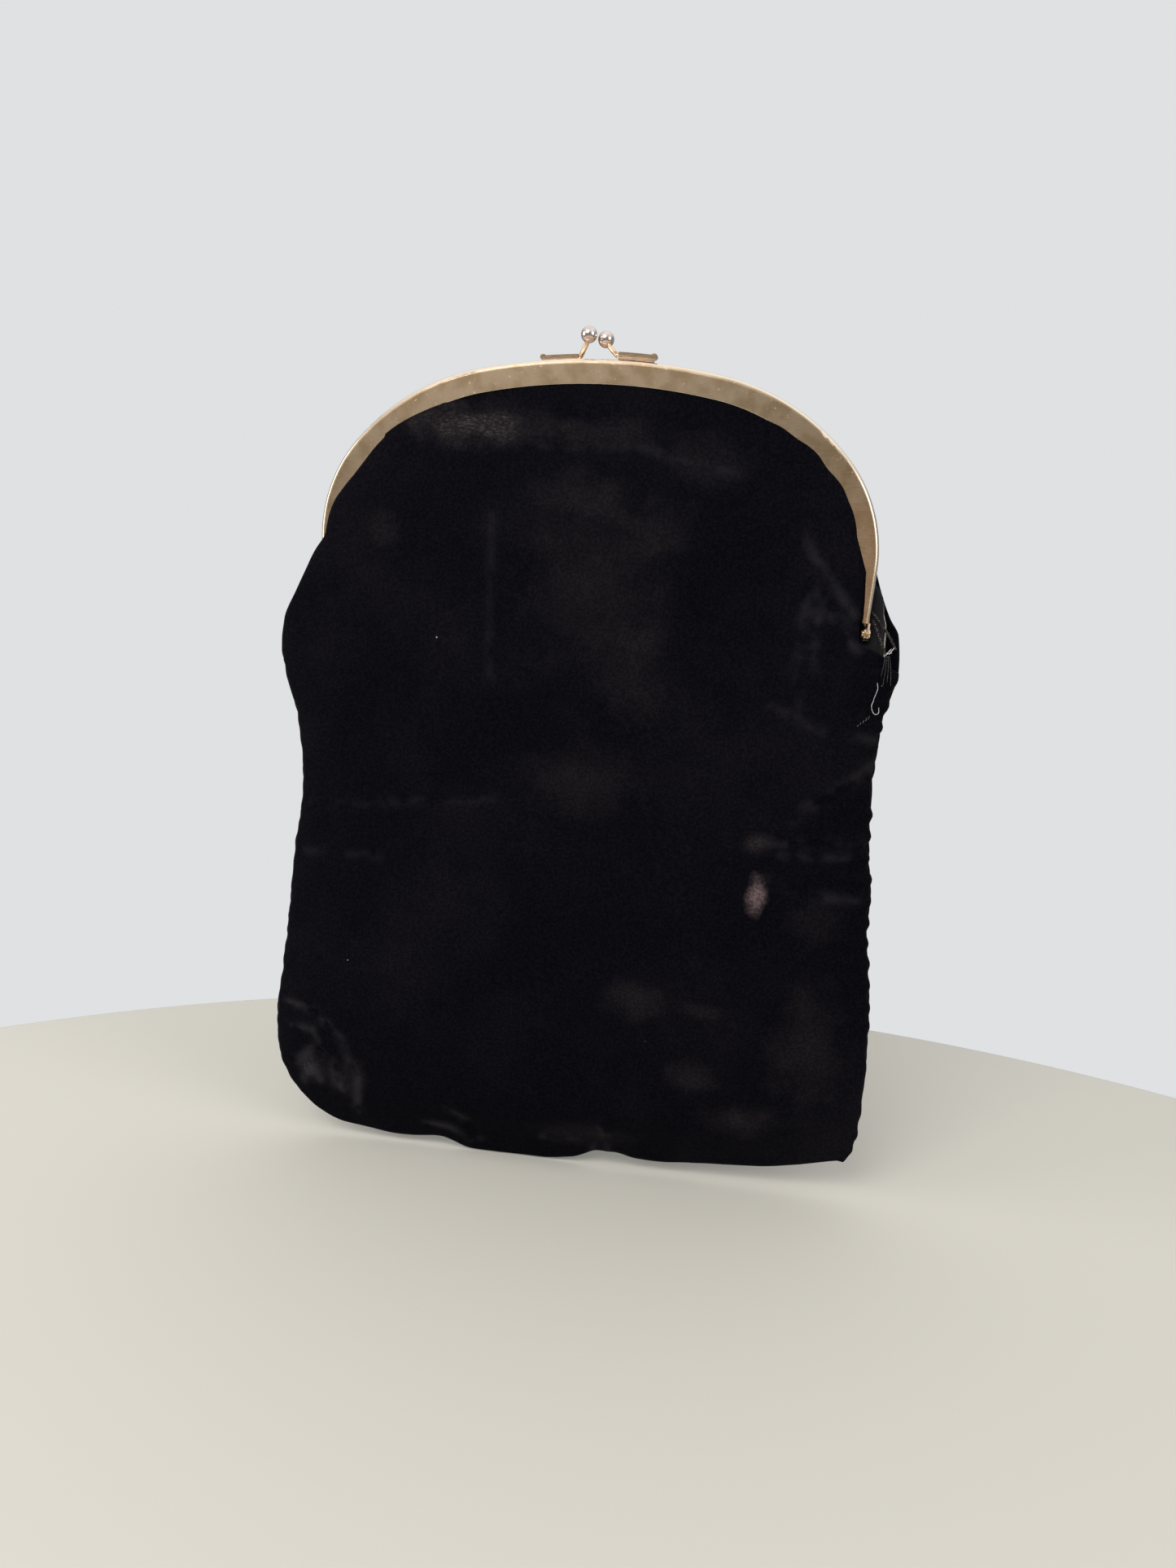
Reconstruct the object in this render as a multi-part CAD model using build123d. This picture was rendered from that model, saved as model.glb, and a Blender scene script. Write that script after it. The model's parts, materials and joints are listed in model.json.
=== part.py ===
"""Evening bag: a soft velvet pouch held by a hinged metal frame that snaps shut with two balls.

Millimetres. X runs to the wearer's right, Y from the front to the back, Z up. The origin is
at the middle of the bag's bottom. The frame is two arched channels that swing about one line
through a rivet at each foot. The fabric layers reach into the channels, and the pouch hangs
midway between them. Everything at the back mirrors the front unless a comment says otherwise.
"""
import os
from math import radians, tan

from build123d import *

# Arch of the frame, seen from the front: arcs from the apex outwards, as (radius, turn in degrees)
ARCH_TOP = 256.3
ARCH_ARCS = ((185.0, 11.34), (69.0, 37.6), (44.0, 44.4))
HINGE_Z = 180.4
FOOT_Z = HINGE_Z + 3.2

# Channel section: a face plate, a web round the outside and a shorter inner leg
BAND = 7.3
INNER_LEG = 6.0
WALL = 0.7
HALF_DEPTH = 4.2
PARTING = 0.15
EDGE_ROUND = 1.5
PARTING_ROUND = 0.45
LIP_ROUND = 0.25
# The band narrows to a slim arm above each hinge: points of the cut's edge on the right
ARM_CUT = ((60.0, 211.0), (77.9, 211.0), (82.3, 198.5), (82.7, 190.0), (82.9, 170.0), (60.0, 170.0))

# Hinge ears and rivets
EAR_RADIUS = 2.4
EAR_THICK = 0.65
FRONT_EAR_X = 84.3
REAR_EAR_X = 83.45
PIN_RADIUS = 0.9
PIN_CLEARANCE = 0.05
HEAD_RADIUS = 1.7
HEAD_THICK = 0.6

# Clasp: a strap on each half, a stem and a ball
FRONT_STRAP_X = 5.2
REAR_STRAP_X = 7.7
STRAP_LENGTH = 10.6
STRAP_HEIGHT = 2.2
STRAP_Y = (-3.4, -1.5)
CURL_RADIUS = 0.95
CURL_LIFT = 1.75
STEM_RADIUS = 0.7
BALL_RADIUS = 2.42
FRONT_BALL = (0.66, 1.0, 262.53)
REAR_BALL = (-4.22, -1.0, 263.45)

# Fabric layers in the channel and across the arch, y of each layer's outer face on the front
VELVET = 1.0
LINING = 0.35
VELVET_RIM_Y = -3.4
LINING_RIM_Y = -2.33
CORD_Y = -1.42
CORD_RADIUS = 0.45
RIM_INSET = 1.2
RIM_WIDTH = 7.4
PUFF = 7.6
PUFF_SLOPE = 20.0
VELVET_DOME_Y = -2.4
LINING_DOME_Y = -1.1
YOKE_FOOT_Z = HINGE_Z + 6.5
YOKE_CUT = 50.0
RIM_DROP = 8.0
HINGE_POCKET = 4.0

# Pouch: half width and half depth of its lens-shaped section at each height
SECTIONS = (
    (0.0, 60.0, 1.0),
    (3.5, 78.0, 3.2),
    (9.0, 88.0, 6.0),
    (18.0, 94.5, 9.0),
    (31.0, 97.5, 11.5),
    (48.0, 97.5, 13.4),
    (75.0, 95.0, 14.6),
    (105.0, 92.3, 14.6),
    (137.0, 90.6, 14.4),
    (160.0, 94.0, 14.0),
    (171.0, 96.5, 13.4),
    (182.0, 93.6, 12.4),
    (197.0, 86.6, 8.0),
)
# The empty pouch lies flat over the middle of its front and back, this far from the middle plane
BELLY_FLAT = 11.0
LOBE_X = 86.4
LAYER_GAP = 0.15
INTERLINING = 0.7
POUCH_LINING = 0.5
SEAM_ALLOWANCE = 3.0

# Bound edges of the velvet from each frame foot down to the side seam, right side
BINDING_RADIUS = 0.5
BINDING_Y = -2.3
FRONT_BINDING = ((87.3, 183.0), (90.2, 174.2))
REAR_BINDING = ((87.9, 185.8), (92.6, 176.6))
# Threads: the tack that joins the bound edges, and a row of stitches at the side seam
THREAD_RADIUS = 0.25
TACK = ((89.6, 173.4), (93.0, 175.4))
STITCH_START = (83.6, 154.2)
STITCH_STEP = (1.15, 0.55)
STITCH_COUNT = 5
STITCH_LENGTH = 1.1
# Slip pocket on the back lining
POCKET_WIDTH = 90.0
POCKET_BOTTOM = 80.0
POCKET_TOP = 150.0
POCKET_DEPTH = 0.4


def arch_curve(inset, foot_z):
    """Right half of the arch's outline, pulled in by inset and run straight down to foot_z."""
    start = Vector(0, ARCH_TOP - inset)
    heading = Vector(1, 0)
    pieces = Curve()
    for radius, turn in ARCH_ARCS:
        arc = JernArc(start=start, tangent=heading, radius=radius - inset, arc_size=-turn)
        pieces += arc
        start = arc @ 1
        heading = arc % 1
    drop = (start.Y - foot_z) / -heading.Y
    pieces += Line(start, start + heading * drop)
    return pieces


def arch_face(inset, foot_z):
    """The whole arch, closed straight across at foot_z, as a face in the XZ plane."""
    right = arch_curve(inset, foot_z)
    left = mirror(right, about=Plane.YZ)
    end = right.edges().sort_by(Axis.Y)[0].vertices().sort_by(Axis.Y)[0]
    outline = right + left + Line((end.X, foot_z), (-end.X, foot_z))
    return Plane.XZ * make_face(outline)


def arch_slab(inset, foot_z, y_front, y_back):
    """The arch as a slab between two y values."""
    face = Pos(0, y_front, 0) * arch_face(inset, foot_z)
    return extrude(face, amount=y_back - y_front, dir=(0, 1, 0))


def both_sides(shape):
    """The shape and its mirror image on the left."""
    return [shape, mirror(shape, about=Plane.YZ)]


def to_back(shape):
    """The shape's mirror image at the back."""
    return mirror(shape, about=Plane.XZ)


def box_between(low, high):
    """A box from its two opposite corners."""
    size = [b - a for a, b in zip(low, high)]
    centre = [(a + b) / 2 for a, b in zip(low, high)]
    return Pos(*centre) * Box(*size)


def side_prism(points, x_low, x_high):
    """A (y, z) outline extruded along X between two x values."""
    face = Plane.YZ * make_face(Polyline(*points, close=True))
    return Pos(x_low, 0, 0) * extrude(face, amount=x_high - x_low, dir=(1, 0, 0))


def off_outline(point):
    """Distance of a point from the arch's outer outline, in the arch's plane."""
    return arch_curve(0, FOOT_Z).distance_to(Vector(abs(point.X), point.Z))


def face_edges(solid, y, nearest, farthest):
    """Edges of a slab lying at y whose middle is between two distances from the outline."""
    level = [e for e in solid.edges() if abs(e.center().Y - y) < 0.01]
    upper = [e for e in level if e.center().Z > FOOT_Z + 0.01]
    return [e for e in upper if nearest < off_outline(e.center()) < farthest]


def frame_channel():
    """Front channel without its ears: outer slab, rounded, less the opening and the groove."""
    outer = arch_slab(0, FOOT_Z, -HALF_DEPTH, -PARTING)
    outer = fillet(face_edges(outer, -HALF_DEPTH, -1, 1), EDGE_ROUND)
    outer = fillet(face_edges(outer, -PARTING, -1, 1), PARTING_ROUND)
    below = FOOT_Z - 10
    opening = arch_slab(BAND, below, -HALF_DEPTH - 1, -HALF_DEPTH + WALL)
    opening += arch_slab(INNER_LEG, below, -HALF_DEPTH + WALL, 1)
    cut = extrude(Plane.XZ * make_face(Polyline(*ARM_CUT, close=True)), amount=20, both=True)
    for side_cut in both_sides(cut):
        opening += side_cut
    channel = outer - opening
    channel = fillet(face_edges(channel, -HALF_DEPTH, BAND - 0.5, BAND + 0.5), LIP_ROUND)
    return channel - arch_slab(WALL, below, -HALF_DEPTH + WALL, -PARTING - WALL)


def hinge_ear(x_low, arm_x_high):
    """Right ear of the front half: a disc on the hinge line, a link and a block in the arm."""
    block_top = FOOT_Z + 2.6
    disc = Plane.YZ * (Pos(0, HINGE_Z) * Circle(EAR_RADIUS))
    disc = Pos(x_low, 0, 0) * extrude(disc, amount=EAR_THICK, dir=(1, 0, 0))
    near = -2 * PARTING
    link_points = ((-HALF_DEPTH, FOOT_Z), (near, FOOT_Z), (near, HINGE_Z), (-EAR_RADIUS, HINGE_Z))
    link = side_prism(link_points, x_low, x_low + EAR_THICK)
    front = -HALF_DEPTH + WALL / 2
    block_points = ((front, FOOT_Z), (near, FOOT_Z), (near, block_top), (front, block_top))
    block = side_prism(block_points, x_low, arm_x_high)
    bore = Pos(x_low, 0, HINGE_Z) * Rot(0, 90, 0) * Cylinder(PIN_RADIUS + PIN_CLEARANCE, 6)
    return disc + link + block - bore


def frame_half(ear_x):
    """Channel with its two ears, front side."""
    half = frame_channel()
    for ear in both_sides(hinge_ear(ear_x, FRONT_EAR_X + EAR_THICK / 2)):
        half += ear
    return half


def hinge_rivet():
    """Right rivet: a pin through both ears with a domed head outside and a flat one inside."""
    outer_x = FRONT_EAR_X + EAR_THICK
    inner_x = REAR_EAR_X - 0.1
    pin_length = outer_x - inner_x
    pin = Pos((outer_x + inner_x) / 2, 0, HINGE_Z) * Rot(0, 90, 0) * Cylinder(PIN_RADIUS, pin_length)
    head = Pos(outer_x + HEAD_THICK / 2, 0, HINGE_Z) * Rot(0, 90, 0) * Cylinder(HEAD_RADIUS, HEAD_THICK)
    head = fillet(head.edges().sort_by(Axis.X)[-1:], HEAD_THICK * 0.7)
    tail_thick = HEAD_THICK * 0.7
    tail = Pos(inner_x - tail_thick / 2, 0, HINGE_Z) * Rot(0, 90, 0)
    return pin + head + tail * Cylinder(HEAD_RADIUS * 0.8, tail_thick)


def strap_and_stem(ball, inner_x, back):
    """Clasp arm: a bar along the arch's top, curled at its end, and a stem to the ball."""
    arch_radius = ARCH_ARCS[0][0]
    sign = -1 if back else 1
    y_middle = sum(STRAP_Y) / 2
    outer_x = inner_x + STRAP_LENGTH
    strap = Cylinder(arch_radius + STRAP_HEIGHT, STRAP_Y[1] - STRAP_Y[0])
    strap -= Cylinder(arch_radius, 10)
    strap = Pos(0, y_middle, ARCH_TOP - arch_radius) * Rot(90, 0, 0) * strap
    strap &= box_between((inner_x, -9, ARCH_TOP - 5), (outer_x, 9, ARCH_TOP + 5))
    curl_z = ARCH_TOP - outer_x**2 / (2 * arch_radius) + CURL_LIFT
    curl = Cylinder(CURL_RADIUS, STRAP_Y[1] - STRAP_Y[0])
    strap += Pos(outer_x, y_middle, curl_z) * Rot(90, 0, 0) * curl
    target = Vector(ball[0] * sign, ball[1] * sign, ball[2])
    foot = Vector(inner_x + 1.6, y_middle, ARCH_TOP + STEM_RADIUS + 0.3)
    bend = Vector(inner_x - 0.5, y_middle, ARCH_TOP + STEM_RADIUS + 0.4)
    neck = bend + (target - bend) * 0.6 + Vector(-0.25, 0, -0.25)
    path = FilletPolyline(foot, bend, neck, target, radius=(1.0, 2.0))
    section = Plane(origin=path @ 0, z_dir=path % 0) * Circle(STEM_RADIUS)
    arm = strap + sweep(section, path=path)
    arm -= Pos(*target) * Sphere(BALL_RADIUS)
    return Rot(0, 0, 180) * arm if back else arm


def clasp_ball(ball):
    """Ball of one clasp arm."""
    return Pos(*ball) * Sphere(BALL_RADIUS)


def channel_strip(inset, width, y_outer, thickness):
    """A flat strip that follows the arch inside the channel, front side."""
    strip = arch_slab(inset, YOKE_FOOT_Z, y_outer, y_outer + thickness)
    return strip - arch_slab(inset + width, YOKE_FOOT_Z - 20, y_outer - 1, y_outer + thickness + 1)


def crimp_cord():
    """Paper cord that wedges the fabric in the front channel."""
    inset = RIM_INSET + CORD_RADIUS
    path = arch_curve(inset, YOKE_FOOT_Z)
    path = Plane.XZ * Wire(path.edges())
    path = Pos(0, CORD_Y, 0) * path
    section = Plane(origin=(0, CORD_Y, ARCH_TOP - inset), z_dir=(1, 0, 0)) * Circle(CORD_RADIUS)
    right = sweep(section, path=path)
    return right + mirror(right, about=Plane.YZ)


def dome(y):
    """A shallow dome on the arch's opening, swelling to the front from a given y."""
    wide = Pos(0, y, 0) * arch_face(RIM_INSET + RIM_WIDTH, HINGE_Z - 8)
    small = Pos(0, y - PUFF, 0) * arch_face(RIM_INSET + RIM_WIDTH + PUFF_SLOPE, HINGE_Z - 8)
    return loft([wide, small], ruled=True)


def yoke(rim_y, thickness, rim_width, dome_y):
    """Upper part of a front fabric layer: a rim in the channel and a shallow puffed dome."""
    rim = channel_strip(RIM_INSET, rim_width, rim_y, thickness)
    shell = dome(dome_y) - dome(dome_y + 1.2 * thickness)
    shell &= box_between((-100, -30, HINGE_Z), (100, rim_y + thickness, 300))
    return rim + shell


def yoke_trim(layer):
    """Cut a front yoke along the plane where it leaves the frame's swing."""
    run = 40
    points = (
        (0, HINGE_Z),
        (-run, HINGE_Z + run / tan(radians(YOKE_CUT))),
        (-run, HINGE_Z - run),
        (0, HINGE_Z - run),
    )
    layer -= side_prism(points, -100, 100)
    return layer - box_between((-100, -30, 0), (100, 30, YOKE_FOOT_Z))


def half_lens(z, half_width, half_depth):
    """Front half of a lens-shaped section at height z."""
    arc = ThreePointArc((-half_width, 0), (0, -half_depth), (half_width, 0))
    return Pos(0, 0, z) * make_face(arc + Line((half_width, 0), (-half_width, 0)))


def pouch_body(inset_width, inset_depth, raise_bottom):
    """Front half of the pouch's volume, pulled in at the sides, the face and the bottom."""
    sections = []
    for z, half_width, half_depth in SECTIONS:
        depth = max(half_depth - inset_depth, 0.3)
        height = max(z, raise_bottom + 0.5 * z)
        sections.append(half_lens(height, half_width - inset_width, depth))
    body = loft(sections, ruled=True)
    return body & box_between((-100, inset_depth - BELLY_FLAT, -1), (100, 0, 300))


def mouth_cut():
    """Space above the pouch's rim, between the side lobes and round the hinges."""
    run = 40
    drop = run * tan(radians(RIM_DROP))
    points = (
        (0, HINGE_Z),
        (-run, HINGE_Z - drop),
        (-run, HINGE_Z + run),
        (run, HINGE_Z + run),
        (run, HINGE_Z - drop),
    )
    cut = side_prism(points, -LOBE_X, LOBE_X)
    hinge = Pos(0, 0, HINGE_Z) * Rot(0, 90, 0) * Cylinder(HINGE_POCKET, 2 * LOBE_X)
    return cut + hinge


def pouch_layers():
    """Front velvet, interlining and lining of the pouch, from the outside in."""
    depth = 0.0
    width = 0.0
    layers = []
    for thickness, top in ((VELVET, 300), (INTERLINING, HINGE_Z - 12), (POUCH_LINING, HINGE_Z - 3)):
        outer = pouch_body(width, depth, depth)
        inner = pouch_body(width + SEAM_ALLOWANCE, depth + thickness, depth + thickness)
        layer = outer - inner - mouth_cut()
        layers.append(layer & box_between((-100, -30, -1), (100, 0, top)))
        width += SEAM_ALLOWANCE + LAYER_GAP
        depth += thickness + LAYER_GAP
    return layers


def slip_pocket():
    """Pocket patch that follows the back lining, just off its inner face."""
    outer_depth = VELVET + INTERLINING + POUCH_LINING + 3 * LAYER_GAP
    side = 3 * (SEAM_ALLOWANCE + LAYER_GAP)
    patch = pouch_body(side, outer_depth, outer_depth)
    patch -= pouch_body(side, outer_depth + POCKET_DEPTH, outer_depth)
    half = POCKET_WIDTH / 2
    return to_back(patch & box_between((-half, -30, POCKET_BOTTOM), (half, 0, POCKET_TOP)))


def rod(start, end, radius):
    """A straight round rod between two points."""
    start = Vector(*start)
    along = Vector(*end) - start
    return extrude(Plane(origin=start, z_dir=along) * Circle(radius), amount=along.length)


def edge_bindings():
    """The two bound velvet edges at the right hinge, as separate cords."""
    cords = []
    for top, bottom in (FRONT_BINDING, REAR_BINDING):
        cords.append(rod((top[0], BINDING_Y, top[1]), (bottom[0], BINDING_Y, bottom[1]), BINDING_RADIUS))
    return cords


def tack_thread():
    """Thread that ties the two bound edges together at the top of the side seam, right side."""
    y = BINDING_Y - BINDING_RADIUS - 2 * THREAD_RADIUS
    return rod((TACK[0][0], y, TACK[0][1]), (TACK[1][0], y, TACK[1][1]), THREAD_RADIUS)


def seam_stitches():
    """A slanting row of short mending stitches beside the right side seam."""
    stitches = []
    for i in range(STITCH_COUNT):
        x = STITCH_START[0] + i * STITCH_STEP[0]
        z = STITCH_START[1] + i * STITCH_STEP[1]
        y = BINDING_Y - 1.0
        stitches.append(rod((x, y, z), (x + 0.2, y, z + STITCH_LENGTH), THREAD_RADIUS))
    return stitches


def bag_nodes():
    """Every piece of the bag under its node's name."""
    velvet, interlining, lining = pouch_layers()
    velvet_yoke = yoke_trim(yoke(VELVET_RIM_Y, VELVET, RIM_WIDTH + 0.5, VELVET_DOME_Y))
    lining_yoke = yoke_trim(yoke(LINING_RIM_Y, LINING, RIM_WIDTH + 6.0, LINING_DOME_Y))
    right_rivet, left_rivet = both_sides(hinge_rivet())
    right_front_edge, right_rear_edge = edge_bindings()
    left_front_edge = mirror(right_front_edge, about=Plane.YZ)
    left_rear_edge = mirror(right_rear_edge, about=Plane.YZ)
    return {
        "front_frame": frame_half(FRONT_EAR_X),
        "rear_frame": to_back(frame_half(REAR_EAR_X)),
        "left_hinge_rivet": left_rivet,
        "right_hinge_rivet": right_rivet,
        "front_clasp_arm": strap_and_stem(FRONT_BALL, FRONT_STRAP_X, False),
        "rear_clasp_arm": strap_and_stem(REAR_BALL, REAR_STRAP_X, True),
        "front_clasp_ball": clasp_ball(FRONT_BALL),
        "rear_clasp_ball": clasp_ball(REAR_BALL),
        "front_crimp_cord": crimp_cord(),
        "rear_crimp_cord": to_back(crimp_cord()),
        "front_velvet_yoke": velvet_yoke,
        "rear_velvet_yoke": to_back(velvet_yoke),
        "front_lining_yoke": lining_yoke,
        "rear_lining_yoke": to_back(lining_yoke),
        "front_velvet_panel": velvet,
        "rear_velvet_panel": to_back(velvet),
        "front_interlining": interlining,
        "rear_interlining": to_back(interlining),
        "front_lining": lining,
        "rear_lining": to_back(lining),
        "slip_pocket": slip_pocket(),
        "left_edge_bindings": Compound(children=[left_front_edge, left_rear_edge]),
        "right_edge_bindings": Compound(children=[right_front_edge, right_rear_edge]),
        "tack_threads": Compound(children=both_sides(tack_thread())),
        "seam_stitches": Compound(children=seam_stitches()),
    }


def main():
    """Write one STEP file for each node."""
    os.makedirs("parts", exist_ok=True)
    for name, shape in bag_nodes().items():
        export_step(shape, f"parts/{name}.step")
        print(name, round(shape.volume, 2))


main()
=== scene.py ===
# %% [markdown]
# # A velvet evening bag on a gilt kiss-lock frame
# The hard parts of this bag, its two frame halves, rivets and clasp, come ready-made from the
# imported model. This lesson gives them their worn gilt finish, and makes everything soft around
# them: the velvet, the lining, the bound edges and the threads.

# %% Load the frame
import json
import math

import bpy
import numpy as np
from mathutils import Matrix, Vector, noise

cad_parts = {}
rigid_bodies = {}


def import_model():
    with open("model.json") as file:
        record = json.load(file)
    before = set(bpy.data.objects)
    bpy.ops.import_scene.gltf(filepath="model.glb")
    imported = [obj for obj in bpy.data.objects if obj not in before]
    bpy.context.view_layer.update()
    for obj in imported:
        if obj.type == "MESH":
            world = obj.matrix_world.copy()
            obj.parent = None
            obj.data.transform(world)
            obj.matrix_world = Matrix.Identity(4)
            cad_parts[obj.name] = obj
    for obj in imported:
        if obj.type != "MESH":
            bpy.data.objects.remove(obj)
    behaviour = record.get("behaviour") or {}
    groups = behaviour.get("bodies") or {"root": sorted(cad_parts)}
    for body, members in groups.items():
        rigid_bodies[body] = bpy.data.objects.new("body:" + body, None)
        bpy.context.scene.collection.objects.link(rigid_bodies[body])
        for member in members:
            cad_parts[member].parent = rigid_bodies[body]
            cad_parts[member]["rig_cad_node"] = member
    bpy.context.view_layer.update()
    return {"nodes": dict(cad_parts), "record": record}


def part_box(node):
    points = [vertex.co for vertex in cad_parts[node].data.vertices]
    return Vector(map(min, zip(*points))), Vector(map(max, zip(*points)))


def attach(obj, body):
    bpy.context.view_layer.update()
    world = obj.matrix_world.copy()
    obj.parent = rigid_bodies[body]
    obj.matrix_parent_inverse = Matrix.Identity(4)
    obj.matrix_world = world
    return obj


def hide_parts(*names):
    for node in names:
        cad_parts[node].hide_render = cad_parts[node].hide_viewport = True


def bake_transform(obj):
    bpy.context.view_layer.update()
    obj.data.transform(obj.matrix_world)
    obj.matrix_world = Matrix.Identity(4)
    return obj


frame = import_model()
MM = 0.001

# %% [markdown]
# The hinge line, the frame's outer size and the pouch's own box steer every soft piece, so they
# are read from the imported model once, in millimetres, which suit a bag this small.

# %% Driving sizes from the model
joint = frame["record"]["behaviour"]["joints"][0]
HINGE_Z = joint["pos_m"][2] / MM
frame_high = Vector(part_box("front_frame")[1]) / MM
pouch_low, pouch_high = [Vector(corner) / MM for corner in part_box("front_velvet_panel")]
ARCH_TOP = frame_high.z
DEPTH = -pouch_low.y
print("hinge", HINGE_Z, "arch top", ARCH_TOP, "pouch depth", DEPTH)

# %% [markdown]
# The camera comes early, because every later judgement is made through it. The lens is a little
# wide and stands near, which is why the right side of the bag looks nearer than the left.

# %% Camera
CAMERA_AT = Vector((54.4, -365.2, 195.9)) * MM
# The camera's own right, up and backward directions
CAMERA_AXES = (
    Vector((0.98725, 0.15002, 0.05316)),
    Vector((-0.07897, 0.17168, 0.98198)),
    Vector((0.13819, -0.97366, 0.18134)),
)
SENSOR_HEIGHT = 36.0
FOCAL_IN_HEIGHTS = 0.752465
camera_data = bpy.data.cameras.new("camera")
camera_data.sensor_fit = "VERTICAL"
camera_data.sensor_height = SENSOR_HEIGHT
camera_data.lens = SENSOR_HEIGHT * FOCAL_IN_HEIGHTS
camera_data.clip_start = 0.01
camera = bpy.data.objects.new("camera", camera_data)
bpy.context.scene.collection.objects.link(camera)
turn = Matrix(CAMERA_AXES).transposed().to_4x4()
camera.matrix_world = Matrix.Translation(CAMERA_AT) @ turn
bpy.context.scene.camera = camera
print("lens", round(camera_data.lens, 2), "mm")

# %% [markdown]
# ## Helpers for modelling
# An operator acts on everything selected, so each step starts from an empty selection. A new
# primitive is named and made active, and a finished piece has its transform applied.

# %% Helpers


def deselect():
    """Leave edit mode and select nothing."""
    if bpy.context.object and bpy.context.object.mode != "OBJECT":
        bpy.ops.object.mode_set(mode="OBJECT")
    bpy.ops.object.select_all(action="DESELECT")


def make_active(obj):
    """Select one object alone."""
    deselect()
    obj.select_set(True)
    bpy.context.view_layer.objects.active = obj


def coords_of(obj):
    """Vertex positions of a mesh in millimetres, as rows."""
    flat = np.empty(len(obj.data.vertices) * 3)
    obj.data.vertices.foreach_get("co", flat)
    return flat.reshape(-1, 3) / MM


def set_coords(obj, rows):
    """Move the vertices of a mesh to these positions, in millimetres."""
    obj.data.vertices.foreach_set("co", (rows * MM).ravel())
    obj.data.update()


def apply_modifier(obj, kind, **settings):
    """Add one modifier, set it and apply it."""
    make_active(obj)
    modifier = obj.modifiers.new(kind.title(), kind)
    for key, value in settings.items():
        setattr(modifier, key, value)
    bpy.ops.object.modifier_apply(modifier=modifier.name)


def smooth_step(low, high, value):
    """0 below low, 1 above high, with an easy ramp between."""
    t = np.clip((value - low) / (high - low), 0.0, 1.0)
    return t * t * (3 - 2 * t)


def curve_through(points):
    """A smooth function through a few (input, output) points, without overshoot."""
    xs, ys = (np.array(c, dtype=float) for c in zip(*points))
    steps = np.diff(ys) / np.diff(xs)
    slopes = np.zeros(len(xs))
    for i in range(1, len(xs) - 1):
        a, b = steps[i - 1], steps[i]
        slopes[i] = 0.0 if a * b <= 0 else 2 * a * b / (a + b)
    slopes[0], slopes[-1] = steps[0], steps[-1]

    def value(x):
        x = np.clip(np.asarray(x, dtype=float), xs[0], xs[-1])
        i = np.clip(np.searchsorted(xs, x) - 1, 0, len(xs) - 2)
        h = xs[i + 1] - xs[i]
        t = (x - xs[i]) / h
        a = (1 + 2 * t) * (1 - t) ** 2
        b = t * (1 - t) ** 2
        c = t * t * (3 - 2 * t)
        d = t * t * (t - 1)
        return a * ys[i] + b * h * slopes[i] + c * ys[i + 1] + d * h * slopes[i + 1]

    return value


def wobble(rows, scale, seed):
    """Smooth noise from -1 to 1 at each row, with features about scale millimetres across."""
    shift = Vector((seed * 7.13, seed * 3.71, seed * 5.39))
    return np.array([noise.noise(Vector(p) / scale + shift) for p in rows])


# %% [markdown]
# ## The arch, read from the frame
# The velvet runs into the channel of the arch, so its edge must follow the arch. The frame's own
# mesh gives that curve: going down from the apex, each vertex farther out than all before it lies
# on the outline.

# %% Outline of the arch
frame_coords = coords_of(frame["nodes"]["front_frame"])
frame_coords = frame_coords[np.argsort(-frame_coords[:, 2])]
reach = np.maximum.accumulate(np.abs(frame_coords[:, 0]))
grows = np.concatenate(([True], np.diff(reach) > 0.05))
arch_z = frame_coords[grows, 2][::-1]
arch_x = reach[grows][::-1]


def arch_half_width(z, inset):
    """Half width at height z of the arch's outline moved inwards, square to itself, by inset."""
    along_x, along_z = np.gradient(arch_x), np.gradient(arch_z)
    length = np.hypot(along_x, along_z)
    inner_x = arch_x - inset * along_z / length
    inner_z = np.maximum.accumulate(arch_z + inset * along_x / length)
    return np.maximum(np.interp(z, inner_z, inner_x), 0.0)


print("arch half width at the hinge", arch_half_width(HINGE_Z, 0))

# %% [markdown]
# ## The velvet
# The bag is two shaped sheets of velvet, sewn together down the sides and along the bottom and
# crimped into the channels at the top. A flat grid could be inflated by the cloth simulator, but
# an old empty bag has a slumped outline that nobody would get by luck, so each sheet is a grid
# whose sides follow the outline of the real cloth and whose middle is raised to a soft belly.
# On one side of each sheet the cloth spills out over the frame's arm; on the other it is tucked
# in, and its bound edge runs down to the side seam. The back is the front turned half round.

# %% Outline of the cloth
# The sides are given as (height, x), the bottom edge as (x, height) and the belly as
# (height, half depth), all in millimetres.
LEFT_SIDE = curve_through((
    (2.0, -77.0), (6.5, -86.5), (12.3, -92.0), (18.0, -96.2), (24.0, -99.3), (30.0, -100.4),
    (38.0, -100.8), (58.8, -98.4), (82.0, -96.2), (104.6, -94.0), (116.0, -92.5), (127.0, -92.2),
    (143.0, -94.0), (153.2, -97.4), (163.6, -99.6), (174.0, -98.4), (184.0, -93.6), (191.0, -89.9),
    (196.5, -87.0), (200.2, -84.4),
))
RIGHT_SIDE = curve_through((
    (4.0, 78.0), (7.0, 85.5), (10.2, 91.0), (13.9, 94.4), (24.2, 96.7), (35.4, 97.2), (57.4, 96.6),
    (73.6, 95.3), (89.4, 93.4), (100.0, 93.6), (112.0, 91.6), (125.7, 91.0), (136.0, 90.4),
    (150.0, 91.0), (157.0, 92.0), (163.0, 93.8), (171.0, 95.1), (180.7, 94.2), (185.5, 91.4),
    (190.1, 89.3), (194.8, 87.5), (199.6, 85.9),
))
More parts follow.
